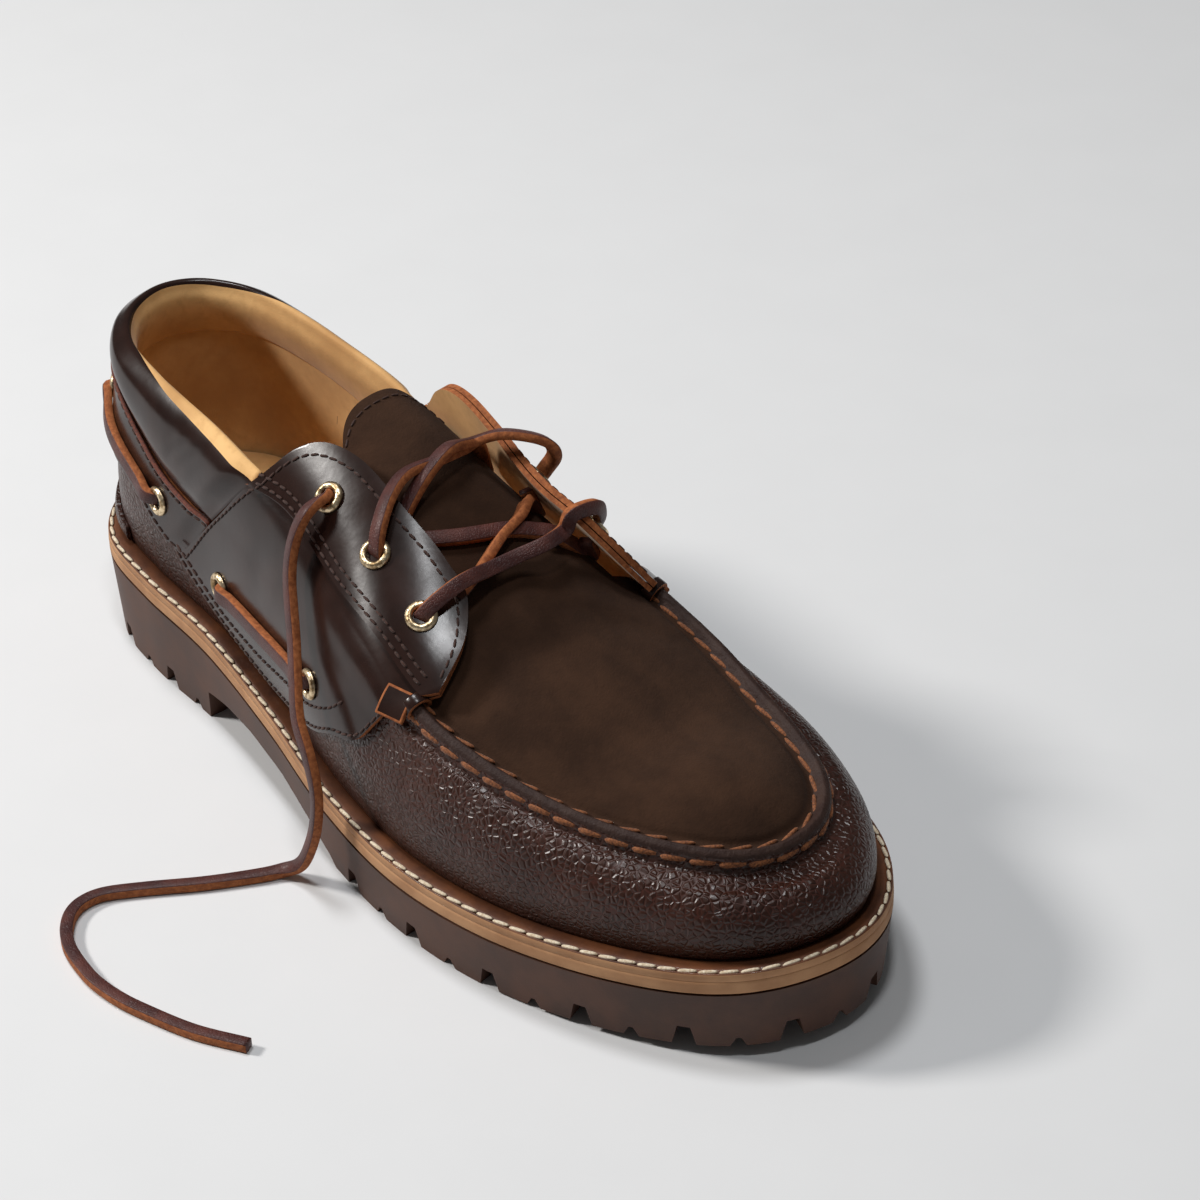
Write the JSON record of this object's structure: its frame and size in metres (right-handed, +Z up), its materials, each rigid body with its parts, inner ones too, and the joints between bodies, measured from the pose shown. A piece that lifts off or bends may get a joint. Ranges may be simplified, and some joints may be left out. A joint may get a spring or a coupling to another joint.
{
  "type": "boat shoe",
  "caption": "Right-foot leather boat shoe with a moccasin toe, rawhide laces through brass eyelets, a welt and a thick lugged rubber sole",
  "frame": {"origin": "On the floor, under the middle of the sole's own box, without the free end of the lace.", "axes": "+X points from the heel to the toe, +Z up, and -Y to the outer side of the foot. The shoe stands on z = 0."},
  "size_m": [0.305, 0.1875, 0.1127],
  "materials": {
    "outsole_rubber": "dark brown moulded rubber, satin",
    "midsole_foam": "light tan foam, matt",
    "welt_leather": "orange-brown storm welt with a cream stitch row",
    "insole_leather": "tan lining leather, matt",
    "pebbled_leather": "dark brown pebbled leather, semi-gloss",
    "suede_leather": "dark brown suede, matt",
    "smooth_leather": "black-brown smooth leather, polished",
    "rawhide_lace": "red-brown rawhide, square cut",
    "eyelet_brass": "worn brass, satin"
  },
  "bodies": {
    "root": {"collar": "smooth_leather", "eyelet_inner_front": "eyelet_brass", "eyelet_inner_middle": "eyelet_brass", "eyelet_inner_top": "eyelet_brass", "eyelet_outer_front": "eyelet_brass", "eyelet_outer_middle": "eyelet_brass", "eyelet_outer_top": "eyelet_brass", "eyestay_inner": "smooth_leather", "eyestay_outer": "smooth_leather", "heel_patch": "pebbled_leather", "heel_quarter": "smooth_leather", "insole": "insole_leather", "keeper_inner": "pebbled_leather", "keeper_outer": "pebbled_leather", "lace_crossing_front": "rawhide_lace", "lace_crossing_top": "rawhide_lace", "lace_end": "rawhide_lace", "midsole": "midsole_foam", "outsole": "outsole_rubber", "saddle_inner": "smooth_leather", "saddle_outer": "smooth_leather", "side_eyelet_inner_front": "eyelet_brass", "side_eyelet_inner_heel": "eyelet_brass", "side_eyelet_inner_middle": "eyelet_brass", "side_eyelet_inner_rear": "eyelet_brass", "side_eyelet_outer_front": "eyelet_brass", "side_eyelet_outer_heel": "eyelet_brass", "side_eyelet_outer_middle": "eyelet_brass", "side_eyelet_outer_rear": "eyelet_brass", "side_lace_inner_front": "rawhide_lace", "side_lace_inner_rear": "rawhide_lace", "side_lace_outer_front": "rawhide_lace", "side_lace_outer_rear": "rawhide_lace", "tongue": "suede_leather", "upper": "pebbled_leather", "welt": "welt_leather"}
  },
  "joints": []
}
